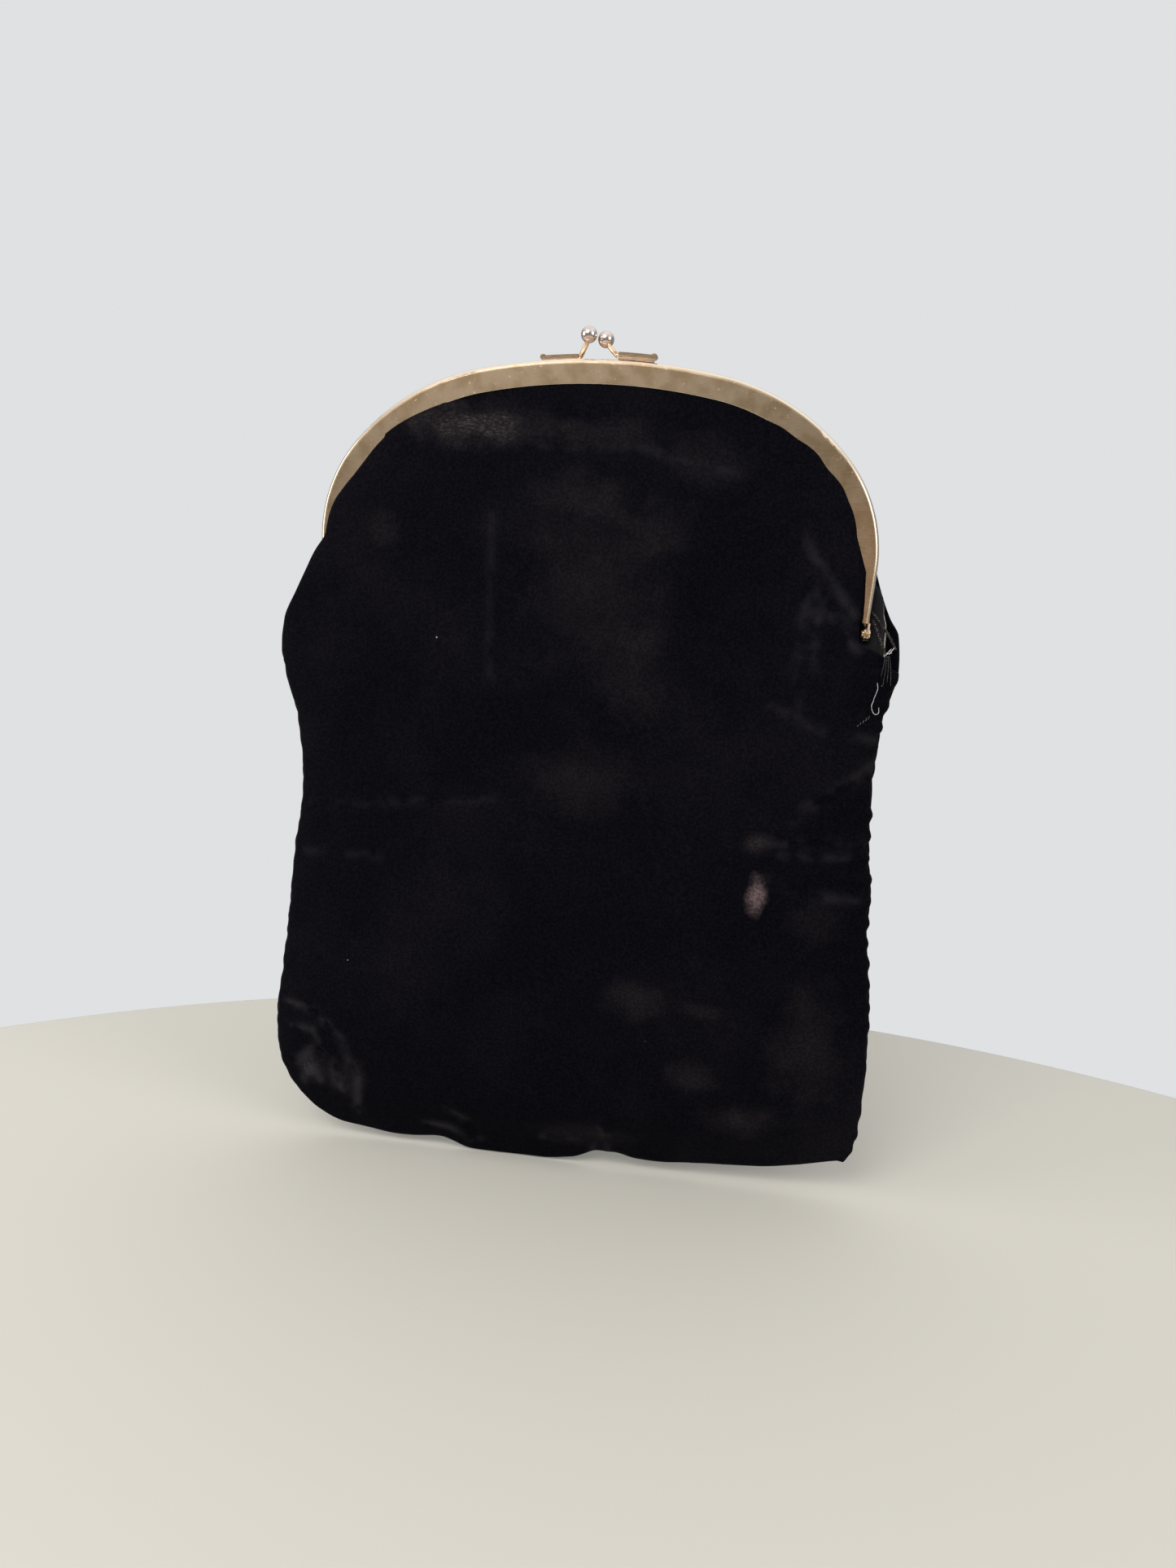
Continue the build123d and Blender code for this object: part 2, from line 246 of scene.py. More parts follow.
BOTTOM = curve_through((
    (-92.0, 12.3), (-85.0, 6.4), (-76.0, 2.8), (-64.0, 1.4), (-52.0, 0.8), (-42.0, 2.0), (-31.0, -0.8),
    (-19.0, -1.4), (-8.0, -1.2), (4.0, 0.2), (13.0, 3.6), (18.0, 3.9), (26.0, 2.6), (42.0, 3.0),
    (58.0, 4.2), (73.0, 6.2), (84.0, 8.4), (91.0, 10.2),
))
BELLY = curve_through((
    (-2.0, 0.9), (6.0, 4.0), (18.0, 7.6), (40.0, 9.8), (75.0, DEPTH - 0.4), (105.0, DEPTH - 0.4),
    (140.0, DEPTH - 0.5), (165.0, 10.2), (182.0, 9.6), (200.0, 9.0), (215.0, 7.8), (230.0, 5.9),
    (253.0, 3.4),
))
# Edge of the cloth that lies over the face of the arm, as (height, half width)
ON_ARM_FROM = 200.2
ON_ARM_TO = 232.0
OVER_FACE = curve_through((
    (ON_ARM_FROM, 84.4), (201.6, 83.8), (204.8, 83.2), (207.5, 82.6), (210.7, 81.4), (212.5, 80.5),
    (215.2, 78.6), (217.5, 76.8), (220.3, 74.5), (223.9, 71.7), (227.9, 68.6), (ON_ARM_TO, 64.8),
))
# Edge of the cloth on the tucked side, from the seam's top up to the arch, as (height, half width)
TUCKED_EDGE = curve_through((
    (168.0, 94.2), (173.6, 91.2), (176.4, 86.5), (178.0, 82.2), (182.6, 81.9), (186.5, 83.0),
    (198.0, 83.4), (206.0, 83.0), (214.0, 82.2),
))

# How far inside the arch's outline things lie: the cloth in the channel, the face's inner edge,
# and how much of the face the cloth still covers where it begins to leave it
TUCK = 2.0
LIP = 7.4
OVERLAP = 1.9
# The cloth over the arm goes under the face between these heights
UNDER_FROM = 242.0
UNDER_BY = 246.0
# A hidden layer leaves the side seam for the channel between these heights
HIDDEN_FROM = 190.0
HIDDEN_BY = 200.0
TOP_Z = ARCH_TOP - 3.4
SIDE_FOOT = 12.0
SEAM_TOP = 170.0
# How far each hidden layer's rim is pulled in, and how far it lies behind the velvet
CANVAS_INSET = 4.5
CANVAS_SHORT = 2.5
LINING_INSET = 5.0
CANVAS_BEHIND = 2.6
LINING_BEHIND = 3.5
POCKET_BEHIND = 4.2
print("cloth from", SIDE_FOOT, "to", TOP_Z, "mm at its sides")

# %% [markdown]
# One function places every vertex of a sheet, so that the velvet, the interlining and the lining
# are the same shape, each a little inside the one before. It works as for the front sheet seen
# from the front, with the side that spills over the arm at the left. For the back sheet it swaps
# the two silhouettes, and the finished coordinates are turned half round.

# %% Shape of one sheet


def sheet_sides(z, back, inset):
    """X of a sheet's left, spilling side and right, tucked side at each height.

    Above the hinge the lining stays in the channel on both sides, and the canvas just inside
    the velvet's edge, so neither shows beside it.
    """
    spill = RIGHT_SIDE(z) if back else -LEFT_SIDE(z)
    other = -LEFT_SIDE(z) if back else RIGHT_SIDE(z)
    in_channel = arch_half_width(z, TUCK)
    spill = np.where(z < ON_ARM_FROM, spill, OVER_FACE(z))
    over_lip = arch_half_width(z, LIP - OVERLAP)
    leaving = smooth_step(ON_ARM_TO, UNDER_BY, z)
    beside_lip = over_lip + (arch_half_width(z, LIP) - over_lip) * leaving
    into_channel = smooth_step(UNDER_FROM, UNDER_BY, z)
    tucked_in = beside_lip + (in_channel - beside_lip) * into_channel
    spill = np.where(z > ON_ARM_TO, tucked_in, spill)
    if inset:
        inside_velvet = np.minimum(in_channel, spill - CANVAS_SHORT)
        hidden = inside_velvet if inset == CANVAS_INSET else in_channel
        spill = spill + (hidden - spill) * smooth_step(HIDDEN_FROM, HIDDEN_BY, z)
        inset = inset * smooth_step(HINGE_Z + 14, HINGE_Z - 4, z)
    tucked = np.where(z < SEAM_TOP, other, np.minimum(TUCKED_EDGE(z), other))
    tucked = np.where(z > HIDDEN_BY, np.minimum(tucked, in_channel), tucked)
    return -(spill - inset), tucked - inset


# Half depth of the pouch along each side's rim: (height, depth)
SPILL_DEPTH = curve_through((
    (0.0, 0.4), (150.0, 0.4), (164.0, 0.8), (176.0, 2.2), (186.0, 3.8), (195.0, 5.0), (205.0, 5.1),
    (220.0, 4.9), (231.0, 4.8), (241.0, 4.6), (244.0, 3.3), (UNDER_BY, 2.9), (260.0, 2.9),
))
TUCKED_DEPTH = curve_through((
    (0.0, 0.4), (160.0, 0.4), (172.0, 1.0), (178.0, 2.9), (186.0, 2.9), (260.0, 2.9),
))


def sheet_rows(columns, rows, back, inset, behind):
    """Smooth coordinates of a sheet's grid: inset pulls its rim in, behind pushes it inwards."""
    u, v = np.meshgrid(np.linspace(0.0, 1.0, columns), np.linspace(0.0, 1.0, rows))
    side_z = SIDE_FOOT + v * (TOP_Z - SIDE_FOOT)
    left, right = sheet_sides(side_z, back, inset)
    x = left + (right - left) * u
    foot_x = np.interp(u, [0.0, 1.0], [left[0, 0], right[0, 0]])
    foot_z = BOTTOM(-foot_x if back else foot_x) + inset
    z = foot_z + v * (TOP_Z - foot_z)
    across = 2 * u - 1
    crown = (1 - np.abs(across) ** 2.6) ** 0.62
    near_left = smooth_step(0.5, 0.0, u)
    rim = SPILL_DEPTH(z) * near_left + TUCKED_DEPTH(z) * (1 - near_left)
    foot = np.minimum(1.0, ((z - foot_z) / 16.0 + 0.004)) ** 0.5
    belly = np.maximum(BELLY(z), rim)
    least = 0.1
    if behind:
        # Keeps the hidden layers apart, in their order, where the channel leaves little depth
        least = least + 0.55 * (POCKET_BEHIND - behind) * smooth_step(HINGE_Z - 10, HINGE_Z + 5, z)
    depth = np.maximum(rim + (belly - rim) * crown * foot - behind, least)
    return np.stack([x, -depth, z], axis=-1).reshape(-1, 3), u.ravel(), v.ravel()


# %% [markdown]
# A sheet starts as a flat grid primitive. Its vertices are set row by row, then Solidify gives the
# cloth its real thickness. Beside each crease a thin strip gets a painted highlight, standing in for
# the light that the fold catches. That strip is stored as an attribute, which the velvet's material
# reads later.

# %% From a grid to a sheet


def new_grid(name, columns, rows):
    """A flat grid primitive with this many vertices across and up."""
    deselect()
    bpy.ops.mesh.primitive_grid_add(x_subdivisions=columns - 1, y_subdivisions=rows - 1, size=1.0)
    grid = bpy.context.object
    grid.name = name
    grid.data.name = name
    return grid


def grid_order(grid, columns, rows):
    """Row-major place in the grid of each vertex of a fresh grid primitive."""
    flat = coords_of(grid)
    across = np.rint((flat[:, 0] / 1000 + 0.5) * (columns - 1)).astype(int)
    up = np.rint((flat[:, 1] / 1000 + 0.5) * (rows - 1)).astype(int)
    return up * columns + across


def near_route(rows, route, width):
    """1 on a route of (x, z) points, falling smoothly to 0 away from it."""
    flat = rows[:, [0, 2]]
    best = np.full(len(rows), 1e9)
    for start, end in zip(route[:-1], route[1:]):
        start, along = np.array(start), np.array(end) - np.array(start)
        t = np.clip(((flat - start) @ along) / (along @ along), 0.0, 1.0)
        best = np.minimum(best, np.linalg.norm(flat - start - t[:, None] * along, axis=1))
    return np.exp(-((best / width) ** 2))


# Where the painted highlight beside each crease lies, how wide and how strong it is; it stands in for the
# light that a fold catches
FOLD_HIGHLIGHT_BELOW = 0.8
FOLD_HIGHLIGHT_WIDTH = 1.5
FOLD_HIGHLIGHT_SHARE = 0.45
FOLD_HIGHLIGHT_MOST = 1.4


def mark_folds(grid, rows, creases):
    """Store how close each vertex is to the painted highlight beside a crease, as an attribute."""
    fold_highlight = np.zeros(len(rows))
    for route, width, height in creases:
        beside = [(x, z - FOLD_HIGHLIGHT_BELOW * np.sign(height)) for x, z in route]
        strength = FOLD_HIGHLIGHT_SHARE * min(abs(height), FOLD_HIGHLIGHT_MOST)
        fold_highlight = np.maximum(fold_highlight, strength * near_route(rows, beside, FOLD_HIGHLIGHT_WIDTH))
    layer = grid.data.attributes.new("fold_highlight", "FLOAT", "POINT")
    layer.data.foreach_set("value", fold_highlight.astype(np.float32))


def outward_is_wrong(grid, back):
    """Whether the faces of a sheet look towards the inside of the bag."""
    bpy.context.object.update_from_editmode()
    middle = grid.data.polygons[len(grid.data.polygons) // 2].normal.y
    return (middle > 0) != back


HALF_TURN = np.array([-1.0, -1.0, 1.0])


def make_sheet(name, columns, rows, back, inset, behind, thickness, detail=None, creases=()):
    """A sheet of cloth with a real thickness; detail may move its vertices before that."""
    grid = new_grid(name, columns, rows)
    order = grid_order(grid, columns, rows)
    smooth, u, v = sheet_rows(columns, rows, back, inset, behind)
    if detail is not None:
        smooth = detail(smooth, u, v)
    if creases:
        mark_folds(grid, smooth[order], creases)
    if back:
        smooth = smooth * HALF_TURN
    set_coords(grid, smooth[order])
    make_active(grid)
    bpy.ops.object.mode_set(mode="EDIT")
    bpy.ops.mesh.select_all(action="SELECT")
    if outward_is_wrong(grid, back):
        bpy.ops.mesh.flip_normals()
    bpy.ops.object.mode_set(mode="OBJECT")
    apply_modifier(grid, "SOLIDIFY", thickness=thickness * MM, offset=-1.0, use_even_offset=False)
    bpy.ops.object.shade_smooth()
    print(name, "vertices", len(grid.data.vertices))
    return grid


# %% [markdown]
# ## Creases and buckles
# Old velvet keeps every fold it was stored in. Each crease is a short route on the bag's face with
# a width and a height, and the distance from that route becomes a smooth ridge or groove. Soft
# noise adds the slump of the cloth, and a fine wave along each side gives the puckers
# that a hand-sewn seam pulls.

# %% Creases
# (route, width, height): height is positive for a ridge, in millimetres
FRONT_CREASES = (
    (((84, 180), (76, 190), (69, 199), (63, 207)), 1.2, -0.9),
    (((82, 176), (73, 186), (66, 196)), 1.6, 0.8),
    (((67, 195), (64.8, 183), (64.4, 168), (66.3, 158)), 1.7, -0.7),
    (((72, 192), (69, 182), (69.5, 170)), 2.0, 0.7),
    (((80, 182), (73, 186), (66, 185)), 1.3, -0.6),
    (((60, 115), (74, 115.6), (90, 116.3)), 1.2, -0.8),
    (((64, 112.5), (90, 113)), 1.7, 0.7),
    (((66, 121.7), (78, 130), (90, 138)), 1.5, -0.8),
    (((70, 128), (80, 134), (90, 142)), 1.8, 0.7),
    (((60, 103.4), (73, 99), (90, 97.4)), 1.5, -0.7),
    (((58, 156.7), (74, 150), (90, 148)), 1.8, -0.6),
    (((-29.9, 214), (-30, 188), (-28.9, 160)), 1.1, -0.35),
    (((-88, 114), (-59, 118), (-25, 122)), 1.8, -0.45),
    (((-90, 98), (-62, 100)), 2.0, -0.4),
    (((-16, 229), (12, 231), (43, 224)), 2.2, -0.5),
    (((-96, 44), (-86, 44), (-76, 35), (-70, 21), (-71, 8)), 1.5, -1.4),
    (((-95, 38), (-86, 38), (-79, 30), (-75, 18)), 1.8, 1.5),
    (((-92, 24), (-86, 31), (-80, 28), (-79, 17)), 1.3, -1.6),
    (((-90, 18), (-86, 24), (-83, 20)), 1.8, 1.4),
    (((-31, 4), (-38, 8), (-46, 8)), 1.6, 1.3),
    (((-28, 3), (-30, 9), (-38, 14)), 1.4, -1.0),
    (((16, 2), (16, 9), (14, 17)), 1.6, 1.5),
    (((11, 3), (10, 9), (-6, 7)), 1.4, -1.2),
)
BACK_CREASES = (
    (((-78, 160), (-50, 170), (-20, 172)), 2.4, -0.8),
    (((70, 150), (88, 140)), 2.0, -0.7),
    (((-88, 70), (-60, 78), (-40, 76)), 2.6, -0.8),
    (((80, 40), (60, 30), (40, 31)), 2.4, 1.0),
    (((-80, 22), (-84, 34)), 2.4, 1.4),
)


SHEET_WIDE = 190.0
SHEET_HIGH = 240.0
SEAM_REACH = 5.0


def crumple(rows, u, v, creases, seed):
    """Add slump, puckers, fine rumple and creases to the smooth rows of a sheet."""
    rows = rows.copy()
    face = np.clip(np.minimum(u, 1 - u) * 9, 0, 1) * np.clip(v * 12, 0, 1)
    open_cloth = face * smooth_step(ARCH_TOP - 5, ARCH_TOP - 30, rows[:, 2])
    lift = 1.5 * wobble(rows, 46.0, seed) * open_cloth
    lift += 0.55 * wobble(rows, 15.0, seed + 1) * open_cloth
    lift += 0.16 * wobble(rows, 5.0, seed + 2) * np.clip(open_cloth + 0.3, 0, 1)
    for route, width, height in creases:
        lift += height * near_route(rows, route, width) * np.clip(face + 0.25, 0, 1)
    low = smooth_step(176.0, 160.0, rows[:, 2])
    for side, far, pucker in ((-1, u, 0.12), (1, 1 - u, 0.5)):
        near = np.exp(-far * SHEET_WIDE / SEAM_REACH) * low
        phase = rows[:, 2] * 0.9 + 2.6 * wobble(rows, 16.0, seed + 3) + side
        strength = pucker * np.clip(0.7 + wobble(rows, 26.0, seed + 6), 0.1, 1.4)
        lift += strength * near * np.sin(phase)
        rows[:, 0] += side * 0.8 * strength * near * np.sin(phase + 0.6)
        rows[:, 0] += side * 0.6 * near * wobble(rows, 9.0, seed + 4)
    bottom = np.exp(-v * SHEET_HIGH / SEAM_REACH)
    rows[:, 2] += 0.6 * bottom * wobble(rows, 11.0, seed + 5)
    rows[:, 1] -= lift
    return rows


# %% [markdown]
# ## Velvet, interlining and lining
# The outer sheet gets the fine grid and all the creases. The canvas and the satin behind it are
# hidden until the bag opens, so a coarser grid and the smooth shape alone do for them.

# %% Sheets of the pouch
VELVET_THICK = 1.0
CANVAS_THICK = 0.4
SATIN_THICK = 0.3
LINING_GRID = (70, 90)
SIDES = (("front", False, FRONT_CREASES, 3), ("rear", True, BACK_CREASES, 31))
layers = {}
for side, back, creases, seed in SIDES:
    layers[side] = {
        "velvet": make_sheet(
            side + "_velvet", 186, 236, back, 0.0, 0.0, VELVET_THICK,
            lambda rows, u, v, c=creases, s=seed: crumple(rows, u, v, c, s), creases,
        ),
        "canvas": make_sheet(side + "_canvas", 60, 80, back, CANVAS_INSET, CANVAS_BEHIND, CANVAS_THICK),
        "lining": make_sheet(side + "_satin", *LINING_GRID, back, LINING_INSET, LINING_BEHIND, SATIN_THICK),
    }

# %% [markdown]
# ## Materials
# A pattern that more than one finish needs becomes a node group with named sockets. The groups
# give out only masks; each material keeps its own shader.

# %% Node helpers


def new_group(name, inputs, outputs):
    """A shader node group with float inputs, given as (name, value), and float outputs."""
    group = bpy.data.node_groups.new(name, "ShaderNodeTree")
    for label, value in inputs:
        socket = group.interface.new_socket(label, in_out="INPUT", socket_type="NodeSocketFloat")
        socket.default_value = value
    for label in outputs:
        group.interface.new_socket(label, in_out="OUTPUT", socket_type="NodeSocketFloat")
    return group


def add(tree, kind, inputs=None, **settings):
    """Add a node, set its properties, and set or link its inputs by name or number."""
    node = tree.nodes.new("ShaderNode" + kind)
    for key, value in settings.items():
        setattr(node, key, value)
    for key, value in (inputs or {}).items():
        if isinstance(value, bpy.types.NodeSocket):
            tree.links.new(value, node.inputs[key])
        else:
            node.inputs[key].default_value = value
    return node


def maths(tree, operation, first, second=0.0, clamp=False):
    """A Math node's output."""
    node = add(tree, "Math", {0: first, 1: second}, operation=operation, use_clamp=clamp)
    return node.outputs[0]


def ramp(tree, value, low, high, to_low=0.0, to_high=1.0):
    """Map a value smoothly from one range to another, clamped."""
    sockets = {
        "Value": value, "From Min": low, "From Max": high, "To Min": to_low, "To Max": to_high,
    }
    return add(tree, "MapRange", sockets, interpolation_type="SMOOTHSTEP").outputs[0]


def mix_colour(tree, factor, first, second):
    """Blend two colours."""
    node = add(tree, "Mix", {"Factor": factor}, data_type="RGBA")
    for socket, value in ((node.inputs[6], first), (node.inputs[7], second)):
        if isinstance(value, bpy.types.NodeSocket):
            tree.links.new(value, socket)
        else:
            socket.default_value = (*value, 1.0)
    return node.outputs[2]


def new_material(name, **shader):
    """A material with its Principled shader's constant values set."""
    material = bpy.data.materials.new(name)
    material.use_nodes = True
    principled = material.node_tree.nodes["Principled BSDF"]
    for key, value in shader.items():
        principled.inputs[key.replace("_", " ")].default_value = value
    return material, material.node_tree, principled


def object_coords(tree):
    """Object coordinates, in metres."""
    return add(tree, "TexCoord").outputs["Object"]


def noise_at(tree, size_mm, detail=2.0, where=None):
    """Noise whose features are about size_mm across."""
    vector = where or object_coords(tree)
    sockets = {"Vector": vector, "Scale": 1000 / size_mm, "Detail": detail}
    return add(tree, "TexNoise", sockets).outputs["Fac"]


def put_material(obj, material):
    """Give a piece or a CAD node its material."""
    obj.data.materials.clear()
    obj.data.materials.append(material)

# %% [markdown]
# ### Velvet
# Black velvet gives back almost no light. What shows is the nap: the pile leans in patches, and a
# leaning pile shines a little, in faint slanting lines where the ground weave comes through. The
# constant sheen on the shader gives the soft bright rim, the groups give the patches.

# %% Nap group
nap_group = new_group("nap", (("Patch mm", 55.0), ("Line mm", 1.3)), ("Patch", "Lines", "Pile"))
tree = nap_group
group_in, group_out = tree.nodes.new("NodeGroupInput"), tree.nodes.new("NodeGroupOutput")
coords = object_coords(tree)
patch_scale = maths(tree, "DIVIDE", 1000.0, group_in.outputs["Patch mm"])
patches = add(tree, "TexNoise", {"Vector": coords, "Scale": patch_scale, "Detail": 5.0, "Roughness": 0.6})
tree.links.new(ramp(tree, patches.outputs["Fac"], 0.42, 0.78), group_out.inputs["Patch"])
SLANT = (0.0, math.radians(-38), 0.0)
slanted = add(tree, "Mapping", {"Vector": coords, "Rotation": SLANT, "Scale": (1.0, 1.0, 3.2)})
line_scale = maths(tree, "DIVIDE", 1000.0, group_in.outputs["Line mm"])
lines = add(tree, "TexNoise", {"Vector": slanted.outputs[0], "Scale": line_scale, "Detail": 1.0})
tree.links.new(ramp(tree, lines.outputs["Fac"], 0.48, 0.70), group_out.inputs["Lines"])
tree.links.new(ramp(tree, noise_at(tree, 0.8, 3.0, coords), 0.32, 0.72), group_out.inputs["Pile"])

# %% Spot group
SPOT_INPUTS = (("X mm", 0.0), ("Z mm", 0.0), ("Width mm", 10.0), ("Height mm", 10.0))
spot_group = new_group("spot", SPOT_INPUTS, ("Mask",))
tree = spot_group
group_in, group_out = tree.nodes.new("NodeGroupInput"), tree.nodes.new("NodeGroupOutput")
split = add(tree, "SeparateXYZ", {0: object_coords(tree)})
ragged = maths(tree, "SUBTRACT", noise_at(tree, 9.0, 5.0), 0.5)
squares = []
for axis, centre, span in (("X", "X mm", "Width mm"), ("Z", "Z mm", "Height mm")):
    in_mm = maths(tree, "MULTIPLY", split.outputs[axis], 1000.0)
    away = maths(tree, "SUBTRACT", in_mm, group_in.outputs[centre])
    squares.append(maths(tree, "POWER", maths(tree, "DIVIDE", away, group_in.outputs[span]), 2.0))
distance = maths(tree, "SQRT", maths(tree, "ADD", squares[0], squares[1]))
distance = maths(tree, "ADD", distance, maths(tree, "MULTIPLY", ragged, 1.5))
tree.links.new(ramp(tree, distance, 1.15, 0.1), group_out.inputs["Mask"])


def place(tree, group, **inputs):
    """Put a node group in a material with its own values."""
    node = tree.nodes.new("ShaderNodeGroup")
    node.node_tree = group
    for key, value in inputs.items():
        node.inputs[key.replace("_", " ")].default_value = value
    return node


# %% [markdown]
# The velvet's colour starts from two near blacks, mixed by the pile. Crushed places, a painted
# highlight beside each crease, one worn brown spot and a few specks of lint are laid over it, one
# after another, each through its own mask.

# %% Velvet material
PILE_BLACK = (0.0012, 0.0010, 0.0024)
PILE_GREY = (0.0033, 0.0031, 0.0051)
NAP_GREY = (0.0200, 0.0165, 0.0180)
LINE_GREY = (0.052, 0.044, 0.044)
# The next grey is a painted highlight laid beside the creases
FOLD_HIGHLIGHT_GREY = (0.034, 0.031, 0.036)
WORN_BROWN = (0.150, 0.105, 0.105)
LINT_GREY = (0.30, 0.28, 0.27)
# Crushed or worn places on the front: (x, z, half width, half height, strength)
CRUSHED = (
    (-35.0, 236.5, 26.0, 8.0, 0.95), (1.5, 234.4, 18.0, 6.0, 0.35), (32.4, 228.0, 17.0, 9.0, 0.25),
    (-2.7, 217.0, 20.0, 8.0, 0.28), (4.0, 189.0, 25.0, 34.0, 0.24), (21.0, 208.0, 14.0, 11.0, 0.25),
    (16.0, 166.0, 12.0, 14.0, 0.25), (1.8, 131.0, 18.0, 14.0, 0.28), (57.5, 115.4, 5.0, 4.5, 0.7),
    (22.0, 61.5, 12.0, 8.0, 0.45), (44.3, 59.6, 9.0, 3.5, 0.30), (41.9, 36.0, 10.0, 7.0, 0.45),
    (58.0, 23.0, 11.0, 7.0, 0.5), (77.6, 49.0, 14.0, 26.0, 0.38), (76.6, 91.0, 11.0, 11.0, 0.25),
    (8.0, 10.5, 18.0, 6.0, 0.4), (-86.8, 23.5, 8.0, 6.5, 0.8), (-71.6, 22.0, 5.5, 9.0, 0.45),
    (-63.7, 204.0, 6.0, 6.0, 0.3),
)
CRUSHED_BACK = CRUSHED[3:8]


def make_velvet(name, front):
    """Near-black velvet with crushed patches, lint and, on the front, a worn brown spot."""
    material, tree, shader = new_material(
        name, Roughness=0.85, Specular_IOR_Level=0.03,
        Sheen_Weight=0.03, Sheen_Roughness=0.30, Sheen_Tint=(0.52, 0.48, 0.60, 1.0),
    )
    nap = place(tree, nap_group)
    pile = nap.outputs["Pile"]
    patch = maths(tree, "MULTIPLY", nap.outputs["Patch"], 0.22)
    for x, z, half_width, half_height, strength in CRUSHED if front else CRUSHED_BACK:
        mask = place(tree, spot_group, X_mm=x, Z_mm=z, Width_mm=half_width, Height_mm=half_height)
        patch = maths(tree, "ADD", patch, maths(tree, "MULTIPLY", mask.outputs[0], strength))
    colour = mix_colour(tree, pile, PILE_BLACK, PILE_GREY)
    grainy = maths(tree, "MULTIPLY", patch, ramp(tree, pile, 0.0, 1.0, 0.55, 1.0), True)
    colour = mix_colour(tree, grainy, colour, NAP_GREY)
    worn_most = ramp(tree, patch, 0.45, 1.0, 0.0, 0.7)
    colour = mix_colour(tree, maths(tree, "MULTIPLY", worn_most, nap.outputs["Lines"]), colour, LINE_GREY)
    # Painted highlight: a broken grey strip beside each crease, standing in for the light the fold catches
    highlit_folds = add(tree, "Attribute", attribute_name="fold_highlight").outputs["Fac"]
    broken = ramp(tree, noise_at(tree, 7.0, 4.0), 0.36, 0.66, 0.0, 0.9)
    fold_highlight_mask = maths(tree, "MULTIPLY", highlit_folds, broken, True)
    colour = mix_colour(tree, fold_highlight_mask, colour, FOLD_HIGHLIGHT_GREY)
    if front:
        worn = place(tree, spot_group, X_mm=58.2, Z_mm=99.0, Width_mm=3.8, Height_mm=7.0)
        bare = maths(tree, "MULTIPLY", worn.outputs[0], ramp(tree, pile, 0.0, 1.0, 0.45, 1.0))
        colour = mix_colour(tree, bare, colour, WORN_BROWN)
    lint = add(tree, "TexVoronoi", {"Vector": object_coords(tree), "Scale": 110.0, "Randomness": 1.0})
    chance = add(tree, "SeparateColor", {0: lint.outputs["Color"]})
    fleck = ramp(tree, lint.outputs["Distance"], 0.034, 0.020)
    rare = maths(tree, "GREATER_THAN", chance.outputs[0], 0.9)
    colour = mix_colour(tree, maths(tree, "MULTIPLY", fleck, rare), colour, LINT_GREY)
    tree.links.new(colour, shader.inputs["Base Color"])
    relief = add(tree, "Bump", {"Height": pile, "Strength": 0.35, "Distance": 0.0003})
    tree.links.new(relief.outputs[0], shader.inputs["Normal"])
    return material


velvet_material = {"front": make_velvet("velvet_front", True), "rear": make_velvet("velvet_rear", False)}
print("crushed places", len(CRUSHED), "in front,", len(CRUSHED_BACK), "behind")

# %% [markdown]
# ### Satin, canvas, paper and thread
# The lining is black satin with a fine rib, which is only a bump. Canvas, paper cord and thread
# are all fibres, lighter where they stand up, so one function makes them from two colours each.

# %% Satin, canvas, paper and thread
SATIN_BLACK = (0.004, 0.0035, 0.005)
SATIN_GREY = (0.010, 0.009, 0.010)
satin, tree, shader = new_material("satin", Roughness=0.5, Specular_IOR_Level=0.12)
rib_sockets = {"Vector": object_coords(tree), "Scale": 620.0, "Distortion": 1.0}
rib = add(tree, "TexWave", rib_sockets, bands_direction="Z").outputs["Fac"]
satin_colour = mix_colour(tree, noise_at(tree, 18.0, 3.0), SATIN_BLACK, SATIN_GREY)
tree.links.new(satin_colour, shader.inputs["Base Color"])
relief = add(tree, "Bump", {"Height": rib, "Strength": 0.2, "Distance": 0.0001})
tree.links.new(relief.outputs[0], shader.inputs["Normal"])


def make_fibre(name, dark, light, size_mm, roughness, low=0.35, high=0.68):
    """A matt fibrous finish mixed from two colours, with a fine bump."""
    material, tree, shader = new_material(
        name, Roughness=roughness, Sheen_Weight=0.05, Specular_IOR_Level=0.25)
    fibres = noise_at(tree, size_mm, 3.0)
    colour = mix_colour(tree, ramp(tree, fibres, low, high), dark, light)
    tree.links.new(colour, shader.inputs["Base Color"])
    relief = add(tree, "Bump", {"Height": fibres, "Strength": 0.5, "Distance": 0.00015})
    tree.links.new(relief.outputs[0], shader.inputs["Normal"])
    return material


canvas = make_fibre("canvas", (0.22, 0.19, 0.15), (0.36, 0.32, 0.25), 0.6, 0.9)
paper = make_fibre("paper_cord", (0.20, 0.13, 0.07), (0.42, 0.31, 0.19), 0.5, 0.85)
edge_thread = make_fibre(
    "bound_edge", (0.004, 0.003, 0.005), (0.17, 0.14, 0.14), 0.35, 0.8, 0.50, 0.72)
grey_thread = make_fibre("grey_thread", (0.02, 0.02, 0.02), (0.16, 0.15, 0.15), 0.3, 0.7)
bright_thread = make_fibre("sewing_thread", (0.30, 0.28, 0.28), (0.75, 0.72, 0.70), 0.3, 0.6)

# %% [markdown]
# ### Gilt metal
# The face of the frame is brushed and has dulled to bronze. Its rounded rim gets a pale colour that
# is partly gilt worn bright by hands and partly a painted highlight of the light from above. The rim
# is told from the face by the surface normal in the object's own space, so the pattern stays in place
# when the frame swings. The wear itself is a group that the frame and the clasp share.

